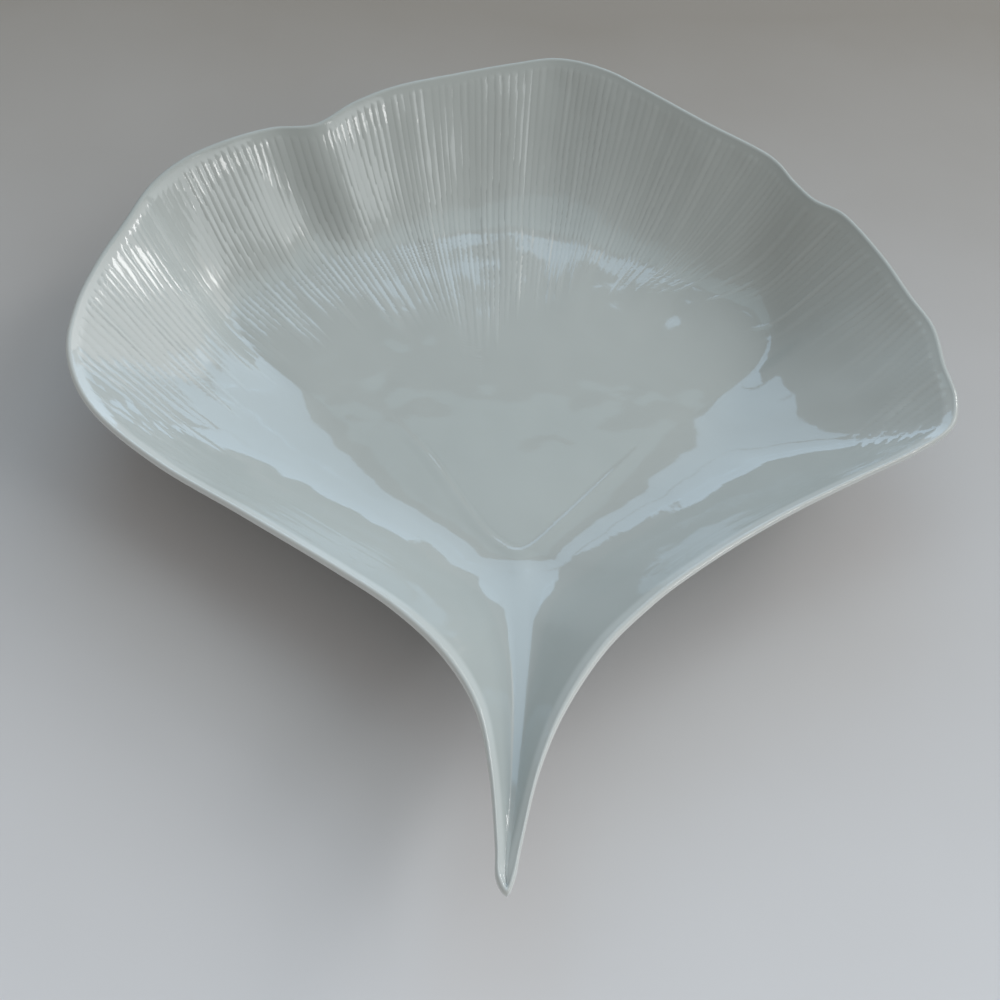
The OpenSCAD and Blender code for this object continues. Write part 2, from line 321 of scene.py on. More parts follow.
def profile(c, w):
    """Points of a wall's skin: w 0 to 1 up the inside, to 2 over the lip, to 3 down the outside.

    Also the share v of the wall at each of them, and which are on the inside.
    """
    w = w[None, :] + 0 * c["run"][:, None]
    top = c["top"][:, None]
    up = w <= 1
    down = w >= 2
    # Over the lip: the inner face of the band, the round top, the outer face
    t = np.clip(w - 1, 0, 1)
    inside = t < 1 / 3
    outside = t > 2 / 3
    v = np.where(up, top * w, np.where(down, top * (3 - w), np.where(
        inside, top + (1 - top) * t * 3, np.where(outside, top + (1 - top) * (1 - t) * 3, 1.0))))
    side = np.where(up | (inside & ~down), -1.0, np.where(down | outside, 1.0, 0.0))
    flat = side != 0
    p = column_point(c, v, side * half_thick(v))
    run, rise = c["run"][:, None], c["rise"][:, None]
    lean = rise * bow_slope(1.0, c["bow"][:, None])
    size = np.hypot(lean, run)
    a = np.pi * np.clip((t - 1 / 3) * 3, 0, 1)
    sx = LIP_T / 2 * (run / size * np.sin(a) - lean / size * np.cos(a))
    sz = LIP_T / 2 * (lean / size * np.sin(a) + run / size * np.cos(a))
    middle = column_point(c, np.ones_like(w), 0.0)
    arc = middle + np.concatenate([sx[..., None] * c["along"][:, None, :], sz[..., None]], 2)
    return np.where(flat[..., None], p, arc), v, up | inside


# Ribs: each runs straight, in plan, from a point on the stem's axis to the rim.
# Rows hold the place on the rim and the y of that point on the axis.
RIB_FROM = np.array([
    [7, 60], [10, 70], [12, 75], [14, 80], [15, 88], [16, 125], [16.6, 165],
    [17, 182], [18, 198], [19, 200], [20, 196], [21, 186], [22, 165], [23, 145],
    [24, 110], [25, 60], [26, 40], [27, 90], [28, 140], [29, 158], [30, 150],
    [31, 142], [33, 130], [34, 120], [35, 108], [36, 98], [37, 93], [38, 88],
    [40, 75], [42, 60]])
# Distance between ribs at the rim in mm, and steps per knot of the rib tables
RIB_PITCH = 2.75
RIB_STEPS = 40
# The pitch wanders by this share, with a new value after so many steps
PITCH_SPREAD, PITCH_STEPS = 0.16, 9
# Rib heights: the least, and the spread of a beta distribution
RIB_LEAST, RIB_SPREAD, RIB_BETA = 0.35, 0.95, (2.0, 1.6)
# Ribs at the ends of the tables that the drift of the phase may reach
RIB_SPARE = 40
rib_u = np.linspace(MOUTH, KNOTS - MOUTH, (KNOTS - 2 * MOUTH) * RIB_STEPS + 1)
rib_end = edge_at(rib_u)[:, :2]
rib_from = np.interp(rib_u, RIB_FROM[:, 0], RIB_FROM[:, 1])
kernel = np.hanning(RIB_STEPS + 1)
kernel /= kernel.sum()
padded = np.pad(rib_from, RIB_STEPS // 2, mode="edge")
rib_from = np.convolve(padded, kernel, mode="valid")
rib_way = rib_end - np.stack([0 * rib_from, rib_from], 1)
rib_len = np.hypot(rib_way[:, 0], rib_way[:, 1])
step = np.diff(rib_end, axis=0)
across = np.abs(step[:, 0] * rib_way[:-1, 1] - step[:, 1] * rib_way[:-1, 0]) / rib_len[:-1]
rng = np.random.RandomState(5)
RIBS = int(across.sum() / RIB_PITCH) + 3
draws = len(across) // PITCH_STEPS + 2
spacing = 1 + PITCH_SPREAD * np.interp(np.arange(len(across)) / PITCH_STEPS,
                                       np.arange(draws), rng.uniform(-1, 1, draws))
rib_phase = np.concatenate([[0], np.cumsum(across * spacing / RIB_PITCH)])
rib_height = RIB_LEAST + RIB_SPREAD * rng.beta(*RIB_BETA, RIBS + RIB_SPARE)
rib_reach = rng.uniform(-1, 1, RIBS + RIB_SPARE)
rib_top = rng.uniform(0, 1, RIBS + RIB_SPARE)

# Height of a rib in mm, and the pitch at which two narrow ribs merge into one
RIB_DEEP = 0.13
RIB_MERGE = (1.35, 2.1)
# Below 1, the ribs are fuller and the grooves between them sharper
RIB_FULL = 0.8
# Share by which a rib swells along its length, and mm per radian of that wave
RIB_SWELL, RIB_SWELL_L = 0.3, 9
# Distance from the well's point at which the ribs begin, for places of the rim
RIB_START = np.array([[7, 60], [12, 100], [15, 122], [18, 128], [21, 122], [24, 110],
                      [25.5, 92], [27, 66], [29, 64], [30, 84], [31, 104], [34, 112],
                      [37, 106], [40, 85], [42, 60]])
# Length over which a rib rises there, and how far single ribs begin off that line
RIB_EASE = 18.0
RIB_SCATTER = 12.0
# Share of a rib's line before which it is flat, and after which it is full
RIB_OUTER = (0.40, 0.58)
# Ribs along the flanks have this share of the height of those at the back
RIB_FLANK = 0.35
# Smooth strip between the round of the lip and the ribs, and the least length
# and the spread of the ribs' ends
RIB_GAP = 1.0
RIB_END, RIB_END_SPREAD = 1.2, 1.2
POINT = np.array([TROUGH_SIDE, POINT_Y])

# Ruffles along the back lip: bearing from the point, half width, height
RUFFLES = [(-14.0, 3.2, 0.45), (-7.5, 3.2, -0.45), (-1.5, 3.2, 0.6), (4.5, 3.2, -0.5),
           (10.5, 3.4, 0.5), (17.0, 3.2, -0.4), (22.5, 3.0, 0.4), (28.0, 3.0, -0.4)]
# Distances from the point between which they rise, and from the lip
RUFFLE_FROM, RUFFLE_LIP = (85, 150), 9.0
# The unevenness grows from the lip inwards, and from the stem towards the back
UNEVEN_LIP, UNEVEN_FROM = 10.0, (112, 140)


# Steps of the search for a rib line, each half as long as the one before
HALVINGS = 16


def rib_place(x, y):
    """Place on the rim of the rib line through each point x, y, found by halving."""
    low = np.full(x.shape, rib_u[0])
    high = np.full(x.shape, rib_u[-1])
    for _ in range(HALVINGS):
        mid = (low + high) / 2
        at = (mid - rib_u[0]) * RIB_STEPS
        i = np.minimum(at.astype(int), len(rib_u) - 2)
        t = at - i
        wx = rib_way[i, 0] * (1 - t) + rib_way[i + 1, 0] * t
        wy = rib_way[i, 1] * (1 - t) + rib_way[i + 1, 1] * t
        fy = rib_from[i] * (1 - t) + rib_from[i + 1] * t
        left = wx * (y - fy) - wy * x > 0
        low = np.where(left, mid, low)
        high = np.where(left, high, mid)
    return (low + high) / 2


# The crease round the front of the well, in plan: a low ridge, steep on the
# side of the well, whose height is a share of CREASE_RISE
CREASE = np.array([[47, 165, 0.0], [28, 143, 0.8], [12, 125, 1.0], [7, 120.5, 1.0],
                   [4, 119.5, 1.0], [0, 121, 0.8], [-8, 129, 0.45], [-25, 155, 0.5],
                   [-42, 175, 0.0]])
CREASE_STEPS = 10
CREASE_RISE = 0.30
# Half width of the ridge's steep side, and reach of its slow side
CREASE_STEEP, CREASE_SLOW = 0.7, 4.5
# The groove at the ridge's foot: depth, distance from the line, half width
CREASE_GROOVE, GROOVE_AT, GROOVE_HALF = 0.06, 1.4, 0.9
# Only points with |x| below the first and y between the others are near it
CREASE_BOX = (62, 105, 190)


def crease_line():
    """Points and strengths along the crease."""
    s = np.linspace(1, len(CREASE), (len(CREASE) - 1) * CREASE_STEPS + 1)
    row = np.concatenate([2 * CREASE[:1] - CREASE[1:2], CREASE, 2 * CREASE[-1:] - CREASE[-2:-1]])
    i = np.minimum(s.astype(int), len(CREASE) - 1)
    t = (s - i)[:, None]
    line = spline(row[i - 1], row[i], row[i + 1], row[i + 2], t)
    line[:, 2] = np.clip(line[:, 2], 0, 1)
    return line


CREASE_LINE = crease_line()


def crease(x, y):
    """Height of the crease over the plan points x, y."""
    height = np.zeros(x.shape)
    wide, low, high = CREASE_BOX
    near = np.nonzero((np.abs(x) < wide) & (y > low) & (y < high))
    px, py = x[near], y[near]
    best = np.full(px.shape, np.inf)
    side = np.zeros(px.shape)
    strength = np.zeros(px.shape)
    for a, b in zip(CREASE_LINE[:-1], CREASE_LINE[1:]):
        d = b[:2] - a[:2]
        t = np.clip(((px - a[0]) * d[0] + (py - a[1]) * d[1]) / (d @ d), 0, 1)
        off_x, off_y = px - a[0] - t * d[0], py - a[1] - t * d[1]
        gap = np.hypot(off_x, off_y)
        closer = gap < best
        best = np.where(closer, gap, best)
        # The line runs from right to left, so the outside is on its left
        side = np.where(closer, np.sign(d[0] * off_y - d[1] * off_x), side)
        strength = np.where(closer, a[2] * (1 - t) + b[2] * t, strength)
    out = best * side
    ridge = (smooth(out, -CREASE_STEEP, CREASE_STEEP)
             * (1 - smooth(out, CREASE_STEEP, CREASE_SLOW)))
    groove = bump((out + GROOVE_AT) / GROOVE_HALF)
    height[near] = strength * (CREASE_RISE * ridge - CREASE_GROOVE * groove)
    return height


# Faint strokes along the flanks: width, length, height and two phases
STROKES = [(2.3, 47.0, 0.012, 0.3, 1.9), (3.4, 61.0, 0.018, 2.2, 0.4),
           (5.3, 83.0, 0.028, 4.1, 3.3)]
# Their way in plan, and the distances from the lip between which they come and go
STROKE_WAY = (0.88, 0.46)
STROKE_IN, STROKE_OUT = (1.0, 6.0), (36, 48)
# How much they bend, and how the two sides of the leaf differ
STROKE_BEND, STROKE_SIDE = 1.4, 0.5
# Slow unevenness of a surface that was shaped by hand: direction, wavelength,
# height, phase
UNEVEN = [(0.5, 61.0, 0.080, 0.6), (2.3, 47.0, 0.070, 1.9), (1.3, 23.0, 0.034, 4.4),
          (2.9, 19.0, 0.030, 2.7), (0.2, 15.0, 0.018, 5.5), (1.9, 12.0, 0.014, 0.9)]
# How far its crests wind, and the length of a bend as a share of the wavelength
UNEVEN_WIND, UNEVEN_BEND = 1.1, 1.7


def strokes(x, y, to_lip):
    """Height of the strokes along the flanks."""
    along = STROKE_WAY[0] * np.abs(x) + STROKE_WAY[1] * y
    total = np.zeros(x.shape)
    for width, length, height, shift, turn in STROKES:
        bent = STROKE_BEND * np.sin(2 * np.pi * along / length + turn
                                    + STROKE_SIDE * np.sign(x))
        total = total + height * np.sin(2 * np.pi * to_lip / width + shift + bent)
    return total * smooth(to_lip, *STROKE_IN) * (1 - smooth(to_lip, *STROKE_OUT))


def unevenness(x, y):
    """Height of the slow waves, whose crests wind a little."""
    total = np.zeros(x.shape)
    for way, length, height, shift in UNEVEN:
        at = x * math.cos(way) + y * math.sin(way)
        across = y * math.cos(way) - x * math.sin(way)
        bend = np.sin(2 * np.pi * across / (UNEVEN_BEND * length))
        total = total + height * np.sin(2 * np.pi * at / length + shift + UNEVEN_WIND * bend)
    return total


def along_ribs(values, phase):
    """A random value for every rib, eased from rib to rib."""
    k = np.floor(phase).astype(int)
    t = smooth(phase - k, 0, 1)
    return values[k % len(values)] * (1 - t) + values[(k + 1) % len(values)] * t


def relief(p, to_lip):
    """Height of all fine forms over the smooth casting, and how full a rib is."""
    x, y = p[..., 0], p[..., 1]
    u = rib_place(x, y)
    at = (u - rib_u[0]) * RIB_STEPS
    i = np.minimum(at.astype(int), len(rib_u) - 2)
    t = at - i
    length = rib_len[i] * (1 - t) + rib_len[i + 1] * t
    from_y = rib_from[i] * (1 - t) + rib_from[i + 1] * t
    share = np.hypot(x, y - from_y) / length
    phase = rib_phase[i] * (1 - t) + rib_phase[i + 1] * t
    # The lines wander a little from straight
    phase = phase + 0.10 * np.sin(0.11 * y + 1.7 * u) + 0.06 * np.sin(0.23 * x - 0.9 * u)
    r = np.hypot(x - POINT[0], y - POINT[1])
    height = along_ribs(rib_height, phase + 0.5)
    reach = along_ribs(rib_reach, phase + 0.5)
    ends = along_ribs(rib_top, phase + 0.5)
    # Each rib swells and thins a little along its length, as a hand-cut groove does
    cut = 1 + RIB_SWELL * np.sin(r / RIB_SWELL_L + 2 * np.pi * ends)
    ridge = np.abs(np.sin(np.pi * phase)) ** RIB_FULL * height * cut
    pair = np.abs(np.sin(np.pi * phase / 2)) ** RIB_FULL * height
    coarse_share = 1 - smooth(share * RIB_PITCH, *RIB_MERGE)
    ridge = ridge * (1 - coarse_share) + pair * coarse_share
    start = np.interp(u, RIB_START[:, 0], RIB_START[:, 1]) + RIB_SCATTER * reach
    fade = smooth(r, start, start + RIB_EASE) * smooth(share, *RIB_OUTER)
    flank = np.minimum(smooth(u, MOUTH + 1.0, RIGHT_CORNER + 2.5),
                       smooth(KNOTS - MOUTH - u, 1.0, KNOTS - MOUTH - LEFT_CORNER + 2.0))
    lip = smooth(to_lip, RIB_GAP, RIB_GAP + RIB_END + RIB_END_SPREAD * ends)
    amount = RIB_DEEP * (RIB_FLANK + (1 - RIB_FLANK) * flank) * fade * lip
    h = amount * ridge
    bearing = np.degrees(np.arctan2(x - POINT[0], y - POINT[1]))
    wave = np.zeros_like(h)
    for centre, half, depth in RUFFLES:
        wave = wave + depth * bump((bearing - centre) / half)
    wave = wave * smooth(r, *RUFFLE_FROM) * smooth(to_lip, 0.0, RUFFLE_LIP)
    uneven = unevenness(x, y) * smooth(to_lip, 0.0, UNEVEN_LIP) * smooth(y, *UNEVEN_FROM)
    # The strokes lie on the flanks only
    side = 1 - np.minimum(smooth(u, RIGHT_CORNER - 1.0, RIGHT_CORNER + 1.0),
                          1 - smooth(u, LEFT_CORNER - 1.0, LEFT_CORNER + 1.0))
    side = side * smooth(u, MOUTH, MOUTH + 1.0) * smooth(KNOTS - MOUTH - u, 0.0, 1.0)
    uneven = uneven + strokes(x, y, to_lip) * side
    return h + wave + uneven + crease(x, y), ridge * fade * lip


def lip_distance(c, v):
    """Distance from share v of the wall to its lip."""
    return (1 - v) * np.hypot(c["run"], c["rise"])[:, None]


# The inner edge of the lip is rounded off: how far down, over which width
EDGE_DROP, EDGE_REACH = 0.26, 3.2
# Steps over which slopes are measured: of s and w on a wall, and in mm in plan
DELTA = 1e-3
PLAN_DELTA = 0.02


def edge_drop(to_lip, w):
    """Height that the rounding takes off the skin, fading out over the lip."""
    over = np.pi * np.clip(3 * w - 4, 0, 1)
    return -EDGE_DROP * (1 - np.clip(to_lip / EDGE_REACH, 0, 1)) ** 2 * (1 + np.cos(over)) / 2


def skin(s, w, stem):
    """Points, normals and glaze tint of a wall's skin over the grid of s and w."""
    def base(ds, dw):
        c = columns(s + ds, stem)
        p, v, inner = profile(c, w + dw)
        to_lip = lip_distance(c, v)
        h, tint = edge_drop(to_lip, w + dw), np.zeros(v.shape)
        if not stem:
            ribs, tint = relief(p, to_lip)
            h = h + np.where(on_inside, ribs, 0)
            tint = np.where(on_inside, tint, 0)
        return p, h, tint

    on_inside = profile(columns(s, stem), w)[2]
    p, h, tint = base(0.0, 0.0)
    p_a, h_a, _ = base(-DELTA, 0.0)
    p_b, h_b, _ = base(DELTA, 0.0)
    p_d, h_d, _ = base(0.0, -DELTA)
    p_e, h_e, _ = base(0.0, DELTA)
    p_s = p_b - p_a
    p_w = p_e - p_d
    normal = np.cross(p_w, p_s)
    normal /= np.linalg.norm(normal, axis=2, keepdims=True)
    bent = np.cross(p_w + (h_e - h_d)[..., None] * normal, p_s + (h_b - h_a)[..., None] * normal)
    bent /= np.linalg.norm(bent, axis=2, keepdims=True)
    return p + h[..., None] * normal, bent, tint


def creased(p, normal):
    """Points of the stem's trough and their normals with the crease on top."""
    e = PLAN_DELTA
    x, y = p[..., 0], p[..., 1]
    slope = np.stack([(crease(x + e, y) - crease(x - e, y)) / (2 * e),
                      (crease(x, y + e) - crease(x, y - e)) / (2 * e), 0 * x], -1)
    slope -= normal * (slope * normal).sum(-1, keepdims=True)
    bent = normal - slope
    bent /= np.linalg.norm(bent, axis=-1, keepdims=True)
    return p + crease(x, y)[..., None] * normal, bent


# A distance from the lip at which none of its effects are left
FAR_FROM_LIP = 100.0


def floor_skin(p):
    """Points, normals and tint of the floor's top at the plan points p."""
    far = np.full(p.shape[:-1], FAR_FROM_LIP)
    h, tint = relief(p, far)
    e = PLAN_DELTA
    h_x = relief(p + [e, 0], far)[0] - relief(p - [e, 0], far)[0]
    h_y = relief(p + [0, e], far)[0] - relief(p - [0, e], far)[0]
    normal = np.stack([-h_x / (2 * e), -h_y / (2 * e), np.ones_like(h)], -1)
    normal /= np.linalg.norm(normal, axis=-1, keepdims=True)
    return np.concatenate([p, (FLOOR_TOP + h)[..., None]], -1), normal, tint


class Shell:
    """Points with their normals and tint, and faces, of one piece."""

    def __init__(self):
        self.points, self.normals, self.tints, self.faces = [], [], [], []
        self.count = 0

    def grid(self, p, n, t):
        """Adds a grid of points and returns their numbers."""
        rows, cols = p.shape[:2]
        ids = self.count + np.arange(rows * cols).reshape(rows, cols)
        self.points.append(p.reshape(-1, 3))
        self.normals.append(n.reshape(-1, 3))
        self.tints.append(t.reshape(-1))
        self.count += rows * cols
        return ids

    def quads(self, ids, flip=False, wrap=False):
        """Adds the faces between the rows of a grid, which may close on itself."""
        if wrap:
            ids = np.concatenate([ids, ids[:1]])
        a, b, c, d = ids[:-1, :-1], ids[1:, :-1], ids[1:, 1:], ids[:-1, 1:]
        order = (a, b, c, d) if flip else (d, c, b, a)
        self.faces.extend(np.stack(order, -1).reshape(-1, 4).tolist())

    def join(self, ids, kept):
        """Faces use the points kept in place of the points ids."""
        swap = dict(zip(np.ravel(ids).tolist(), np.ravel(kept).tolist()))
        faces = []
        for face in self.faces:
            face = [swap.get(i, i) for i in face]
            face = [i for k, i in enumerate(face) if i != face[k - 1]]
            if len(face) > 2:
                faces.append(face)
        self.faces = faces

    def make(self, name, material, slot, *nodes):
        """Turns the shell into a visible piece in place of CAD nodes."""
        used = np.unique(np.concatenate([np.asarray(face) for face in self.faces]))
        number = np.zeros(self.count, int)
        number[used] = np.arange(len(used))
        faces = [number[face].tolist() for face in self.faces]
        points = np.concatenate(self.points)[used] + [STEM_X, TIP_Y, 0]
        mesh = bpy.data.meshes.new(name)
        mesh.from_pydata((points * MM).tolist(), [], faces)
        mesh.polygons.foreach_set("use_smooth", np.ones(len(mesh.polygons), bool))
        ridge = mesh.attributes.new("ridge", "FLOAT", "POINT")
        ridge.data.foreach_set("value", np.concatenate(self.tints)[used].astype(np.float32))
        mesh.update()
        mesh.normals_split_custom_set_from_vertices(np.concatenate(self.normals)[used].tolist())
        mesh.materials.append(material)
        piece = bpy.data.objects.new(name, mesh)
        bpy.context.scene.collection.objects.link(piece)
        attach(piece, "root")
        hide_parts(*nodes)
        return piece


ARC_SAMPLES = 4000


def arc_steps(low, high, pitch):
    """Places of the rim from low to high, evenly spaced along it by about pitch."""
    fine = np.linspace(low, high, ARC_SAMPLES)
    p = edge_at(fine)
    length = np.concatenate([[0], np.cumsum(np.linalg.norm(np.diff(p, axis=0), axis=1))])
    count = int(math.ceil(length[-1] / pitch))
    return np.interp(np.linspace(0, length[-1], count + 1), length, fine)


# Distance between columns in mm
STEM_PITCH, FLANK_PITCH, FAN_PITCH = 1.3, 0.7, 0.38
# The last steps of the stem, next to the well's point, are split
STEM_FINE, STEM_SPLIT = 12, 4
# Rows up the inside of each wall, down the outside and over the lip
FAN_ROWS, FLANK_ROWS, STEM_ROWS, OUTER_ROWS, LIP_ROWS = 66, 120, 40, 12, 18
stem_s = arc_steps(0.0, MOUTH, STEM_PITCH)
stem_s = np.concatenate([stem_s[:-STEM_FINE], np.linspace(
    stem_s[-STEM_FINE], MOUTH, STEM_FINE * STEM_SPLIT - STEM_SPLIT + 1)])
right_s = arc_steps(MOUTH, RIGHT_CORNER, FLANK_PITCH)
fan_s = arc_steps(RIGHT_CORNER, LEFT_CORNER, FAN_PITCH)
left_s = arc_steps(LEFT_CORNER, KNOTS - MOUTH, FLANK_PITCH)
outer_w = np.linspace(2, 3, OUTER_ROWS + 1)


def wall(name, s, rows, material):
    """A wall with its inside, outside, top, foot and both ends."""
    shell = Shell()
    inner = shell.grid(*skin(s, np.linspace(0, 1, rows + 1), False))
    outer = shell.grid(*skin(s, outer_w, False))
    shell.quads(inner)
    shell.quads(outer)
    shell.quads(np.stack([inner[:, -1], outer[:, 0]], 1))
    shell.quads(np.stack([outer[:, -1], inner[:, 0]], 1))
    shell.faces.append((inner[0].tolist() + outer[0].tolist())[::-1])
    shell.faces.append(inner[-1].tolist() + outer[-1].tolist())
    return shell.make(name, material, "glaze", name.split(".")[0])


# Steps across the strip between the two sides of the trough
STRIP = 10


def stem(material):
    """Both sides of the stem, with the strip of the trough's bottom between them."""
    shell = Shell()
    w_in = np.linspace(0, 1, STEM_ROWS + 1)
    right_flat = skin(stem_s, w_in, True)
    right_in = creased(*right_flat[:2]) + right_flat[2:]
    right_out = skin(stem_s, outer_w, True)
    left = KNOTS - stem_s
    left_flat = skin(left, w_in, True)
    left_in = creased(*left_flat[:2]) + left_flat[2:]
    left_out = skin(left, outer_w, True)
    ids = {}
    for key, part in (("ri", right_in), ("ro", right_out), ("li", left_in), ("lo", left_out)):
        ids[key] = shell.grid(*part)

    def strip(a, b, ka, kb, row, finish=None):
        """Grid from the skin a to the skin b, along one row of both."""
        t = np.linspace(0, 1, STRIP + 1)[1:-1][None, :, None]
        pa, pb = a[0][:, row][:, None, :], b[0][:, row][:, None, :]
        na, nb = a[1][:, row][:, None, :], b[1][:, row][:, None, :]
        p = pa * (1 - t) + pb * t
        n = na * (1 - t) + nb * t
        n /= np.linalg.norm(n, axis=2, keepdims=True)
        if finish:
            p, n = finish(p, n)
        middle = shell.grid(p, n, np.zeros(p.shape[:2]))
        return np.concatenate([ids[ka][:, row][:, None], middle, ids[kb][:, row][:, None]], 1)

    top = strip(left_flat, right_flat, "li", "ri", 0, creased)
    under = strip(left_out, right_out, "lo", "ro", -1)
    shell.quads(ids["ri"])
    shell.quads(ids["ro"])
    shell.quads(ids["li"], flip=True)
    shell.quads(ids["lo"], flip=True)
    shell.quads(top)
    shell.quads(under, flip=True)
    shell.quads(np.stack([ids["ri"][:, -1], ids["ro"][:, 0]], 1))
    shell.quads(np.stack([ids["li"][:, -1], ids["lo"][:, 0]], 1), flip=True)
    # The end that meets the floor and the flanks
    shell.faces.append((ids["ri"][-1].tolist() + ids["ro"][-1].tolist()
                        + under[-1][1:-1][::-1].tolist() + ids["lo"][-1].tolist()[::-1]
                        + ids["li"][-1].tolist()[::-1] + top[-1][1:-1].tolist()))
    # Both sides share the column at the tip
    shell.join(ids["li"][0], ids["ri"][0])
    shell.join(ids["lo"][0], ids["ro"][0])
    shell.join(top[0], np.full_like(top[0], ids["ri"][0, 0]))
    shell.join(under[0], np.full_like(under[0], ids["ro"][0, -1]))
    return shell.make("stem_handle.glazed", material, "glaze", "stem_handle")


# Painted highlight on the lip's band and painted light along its outer edge: a paler glaze colour
# on the front edges, in place of the lamps' light
PAINTED_LIP_SHEEN, PAINTED_EDGE_LINE = 3.5, 7.0
# Shares of the way over the lip where the band rises and falls
BAND_IN, BAND_OUT = (0.0, 0.2), (0.60, 0.70)
# Middle and half width of the line
LINE_AT, LINE_HALF = 0.62, 0.14
# The dull part of the back edge
DULL_IN, DULL_OUT = (0.22, 0.40), (0.70, 0.80)
# Knots from the tip over which the front edges end and the back one begins
FRONT_KNOTS = (11.0, 14.0)


def rim(material):
    """The lip round the whole leaf, as one ring."""
    s = np.concatenate([stem_s[:-1], right_s[:-1], fan_s[:-1], left_s[:-1],
                        (KNOTS - stem_s)[::-1][:-1]])
    w = np.linspace(1, 2, LIP_ROWS + 1)
    is_stem = (s < MOUTH) | (s > KNOTS - MOUTH)
    parts = []
    for chosen, stem_side in ((s < MOUTH, True), (~is_stem, False), (s > KNOTS - MOUTH, True)):
        parts.append(skin(s[chosen], w, stem_side))
    p, n, t = (np.concatenate([part[k] for part in parts]) for k in range(3))
    # Along the front edges the lip is painted paler: a painted highlight on its band, and a
    # painted light line over its outer edge, which faces away from the lamps
    front = 1 - smooth(np.minimum(s, KNOTS - s), *FRONT_KNOTS)
    over = w - 1
    band = PAINTED_LIP_SHEEN * smooth(over, *BAND_IN) * (1 - smooth(over, *BAND_OUT))
    # The painted light line lightens the shaded outer edge of the lip
    t = t + front[:, None] * (band + PAINTED_EDGE_LINE * bump((over - LINE_AT) / LINE_HALF))
    # Along the back edge the lip is dull
    t = t - (1 - front)[:, None] * smooth(over, *DULL_IN) * (1 - smooth(over, *DULL_OUT))
    shell = Shell()
    ids = shell.grid(p, n, t)
    shell.quads(ids, wrap=True)
    shell.quads(np.stack([ids[:, -1], ids[:, 0]], 1), wrap=True)
    return shell.make("rolled_rim.glazed", material, "glaze", "rolled_rim")


# Rows of the floor's top, closer together outside FLOOR_SPLIT of its radius
FLOOR_ROWS_OUT, FLOOR_ROWS_IN, FLOOR_SPLIT = 60, 34, 0.6
# Share of the radius that the face in the middle takes
FLOOR_MIDDLE = 0.02


def floor(material):
    """The floor of the well: rings of points round its middle, above and below."""
    s = np.concatenate([right_s[:-1], fan_s[:-1:2], left_s])
    feet = columns(s, False)["foot"]
    t = np.linspace(0, 1, STRIP + 1)[1:-1][:, None]
    ring = np.concatenate([feet, feet[-1] * (1 - t) + feet[0] * t])
    centre = np.array([0.0, WELL_Y])
    q = np.concatenate([np.linspace(1, FLOOR_SPLIT, FLOOR_ROWS_OUT + 1),
                        np.linspace(FLOOR_SPLIT, FLOOR_MIDDLE, FLOOR_ROWS_IN + 1)[1:]])
    plan = centre + (ring - centre)[:, None, :] * q[None, :, None]
    shell = Shell()
    ids = shell.grid(*floor_skin(plan))
    shell.quads(ids, flip=True, wrap=True)
    shell.faces.append(ids[:, -1].tolist())
    below = plan[:, ::(FLOOR_ROWS_OUT + FLOOR_ROWS_IN) // 2]
    below = np.concatenate([below, np.full(below.shape[:2] + (1,), FOOT_H)], 2)
    down = np.zeros_like(below) - [0, 0, 1.0]
    under = shell.grid(below, down, np.zeros(below.shape[:2]))
    shell.quads(under, wrap=True)
    shell.faces.append(under[:, -1].tolist()[::-1])
    shell.quads(np.stack([under[:, 0], ids[:, 0]], 1), flip=True, wrap=True)
    return shell.make("well_floor.glazed", material, "glaze", "well_floor")


# Steps round the foot ring, rows down its sides and round its lower edges
RING_STEPS, RING_ROWS, RING_TURNS = 288, 6, 7
# Radius of its lower edges, and how far it widens into the floor
RING_EDGE = 1.3
RING_FLARE = 0.9


def foot_ring(material):
    """The ring that the plate stands on, with three soft lobes."""
    a = np.radians(np.arange(RING_STEPS) * 360 / RING_STEPS)

    def outline(r):
        d = r + FOOT_R * FOOT_LOBE * np.cos(3 * a)
        return np.stack([d * np.sin(a), WELL_Y - d * np.cos(a)], 1)

    rows = []
    turn = np.radians(np.linspace(0, 90, RING_TURNS))
    # From the top outside, down, round the edge that stands on the table, and up inside
    for z in np.linspace(FOOT_H, RING_EDGE, RING_ROWS):
        rise = (z - RING_EDGE) / (FOOT_H - RING_EDGE)
        rows.append((FOOT_R + RING_FLARE * rise ** 3, z))
    for b in turn[1:]:
        rows.append((FOOT_R - RING_EDGE * (1 - math.cos(b)), RING_EDGE * (1 - math.sin(b))))
    for b in turn[::-1]:
        rows.append((FOOT_R - FOOT_W + RING_EDGE * (1 - math.cos(b)),
                     RING_EDGE * (1 - math.sin(b))))
    for z in np.linspace(RING_EDGE, FOOT_H, RING_ROWS)[1:]:
        rise = (z - RING_EDGE) / (FOOT_H - RING_EDGE)
        rows.append((FOOT_R - FOOT_W - RING_FLARE * rise ** 3, z))
    p = np.stack([np.concatenate([outline(r), np.full((RING_STEPS, 1), z)], 1)
                  for r, z in rows], 1)
    p_s = np.roll(p, -1, 0) - np.roll(p, 1, 0)
    p_w = np.gradient(p, axis=1)
    n = np.cross(p_w, p_s)
    n /= np.linalg.norm(n, axis=2, keepdims=True)
    shell = Shell()
    ids = shell.grid(p, n, np.zeros(p.shape[:2]))
    shell.quads(ids, wrap=True)
    shell.quads(np.stack([ids[:, -1], ids[:, 0]], 1), wrap=True)
    return shell.make("foot_ring.bare", material, "bare_foot", "foot_ring")


def new_material(name):
    """A material with its node tree and its shader."""
    material = bpy.data.materials.new(name)
    material.use_nodes = True
    tree = material.node_tree
    return material, tree, tree.nodes["Principled BSDF"]


def node(tree, kind, **inputs):
    """A node with constants on the inputs that are named."""
    made = tree.nodes.new(kind)
    for key, value in inputs.items():
        made.inputs[key.replace("_", " ")].default_value = value
    return made


def ramp(tree, *ends):
    """A colour ramp between two ends, each a place and a colour."""
    made = tree.nodes.new("ShaderNodeValToRGB")
    for element, (place, colour) in zip(made.color_ramp.elements, ends):
        element.position = place
        element.color = colour
    return made


